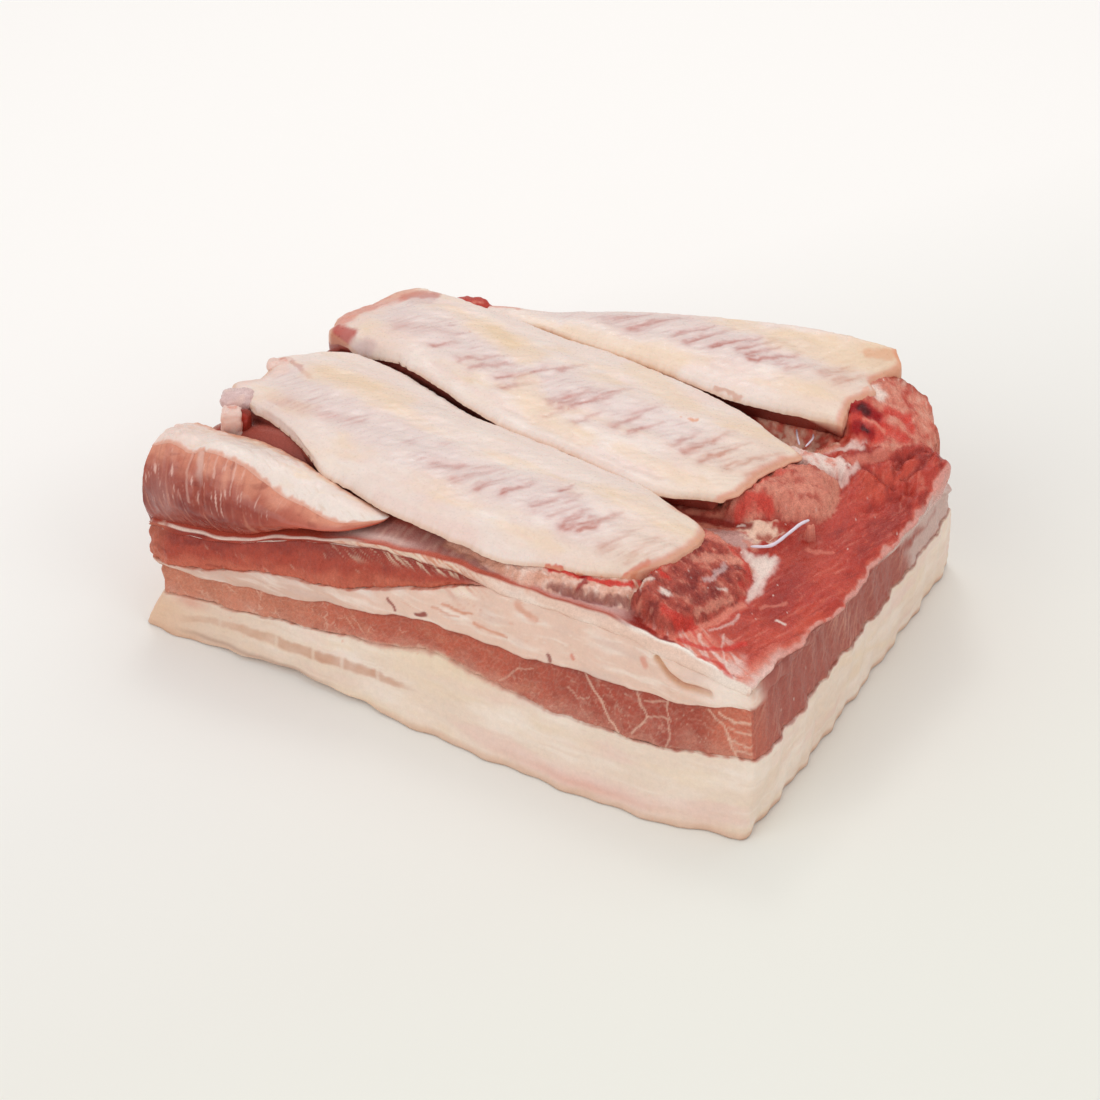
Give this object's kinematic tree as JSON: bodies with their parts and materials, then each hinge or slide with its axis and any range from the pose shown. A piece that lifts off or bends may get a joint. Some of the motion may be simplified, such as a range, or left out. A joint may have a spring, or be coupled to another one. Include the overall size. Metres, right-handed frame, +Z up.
{
  "type": "pork belly slab",
  "caption": "Raw bone-in pork belly slab lying skin side down, cut square, with layered fat and lean at its sides and long membrane-covered ribs on top.",
  "frame": {"origin": "on the table, under the middle of the slab's bounding box", "axes": "+X along the ribs, towards their cut ends; +Y from the long cut face in front to the back; +Z up"},
  "size_m": [0.2066, 0.162, 0.0663],
  "materials": {
    "fat_cap": "moist satin pork fat with a tan rind line at its foot",
    "lean_lower": "moist cut lean, marbled",
    "fat_middle": "moist stringy fat",
    "lean_upper": "moist cut lean, redder",
    "rib_meat": "wet red cut meat between and beyond the ribs",
    "flap_lean": "glossy lean with pale fibres",
    "flap_fat": "cream fat, satin",
    "rib_1": "wet cream membrane over bone, bluish grey at the middle",
    "rib_2": "wet cream membrane over bone, bluish grey at the middle",
    "rib_3": "wet cream membrane over bone"
  },
  "bodies": {
    "root": {"fat_cap": "fat_cap", "lean_lower": "lean_lower", "fat_middle": "fat_middle", "lean_upper": "lean_upper", "rib_meat": "rib_meat", "flap_lean": "flap_lean", "flap_fat": "flap_fat", "rib_1": "rib_1", "rib_2": "rib_2", "rib_3": "rib_3"}
  },
  "joints": []
}
